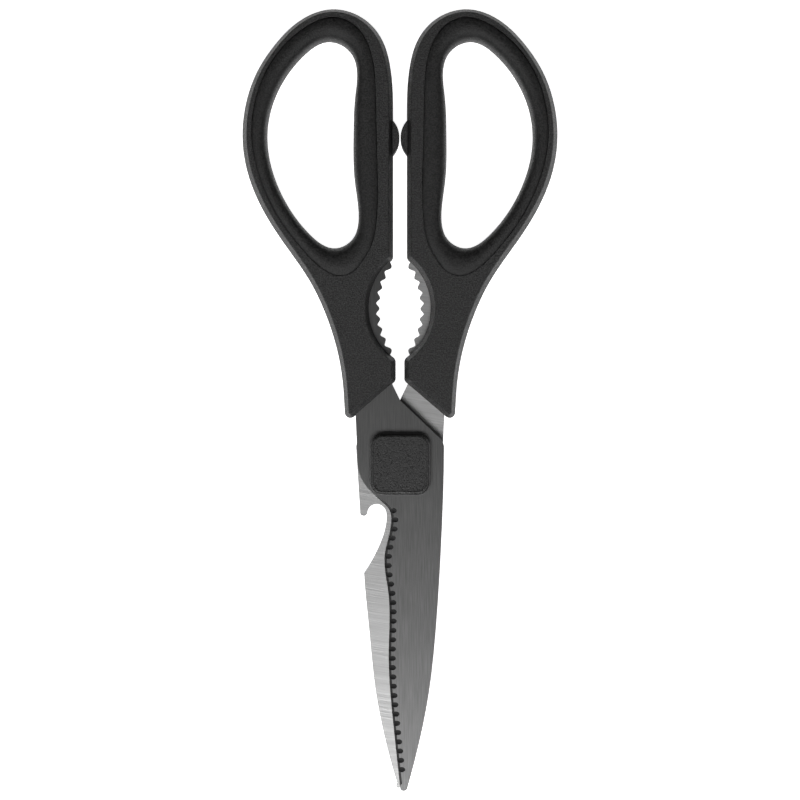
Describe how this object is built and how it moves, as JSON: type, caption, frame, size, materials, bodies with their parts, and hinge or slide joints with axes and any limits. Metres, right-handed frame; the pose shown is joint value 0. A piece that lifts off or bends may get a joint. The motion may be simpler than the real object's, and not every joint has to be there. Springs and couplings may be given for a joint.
{
  "type": "poultry shears",
  "caption": "Poultry shears with a micro-serrated front blade, a bottle-opener notch, nutcracker jaw teeth, soft-lined finger loops and a square pivot cover.",
  "frame": {"origin": "on the pivot axis, at the plane that the closed shears rest on (the back of the pivot nut and of the soft grips)", "axes": "+Y towards the finger loops, +X towards the right-hand loop, +Z along the pivot axis towards the cover"},
  "size_m": [0.0908, 0.2252, 0.0136],
  "materials": {
    "blade_steel_dark": "satin",
    "blade_steel_bright": "ground",
    "pivot_steel": "turned",
    "spring_steel": "plain",
    "handle_plastic": "fine grain",
    "cover_plastic": "fine grain",
    "washer_plastic": "smooth",
    "grip_rubber": "matte"
  },
  "bodies": {
    "front_half": {"front_blade": "blade_steel_dark", "left_handle": "handle_plastic", "left_grip": "grip_rubber", "pivot_bolt": "pivot_steel", "pivot_nut": "pivot_steel", "disc_spring": "spring_steel", "blade_washer": "washer_plastic", "pivot_cover": "cover_plastic"},
    "rear_half": {"rear_blade": "blade_steel_bright", "right_handle": "handle_plastic", "right_grip": "grip_rubber"}
  },
  "joints": [
    {"name": "blade_pivot", "type": "hinge", "parent": "front_half", "child": "rear_half", "pos_m": [0, 0, 0.0068], "axis": [0, 0, -1], "range_deg": [0, 80]}
  ]
}
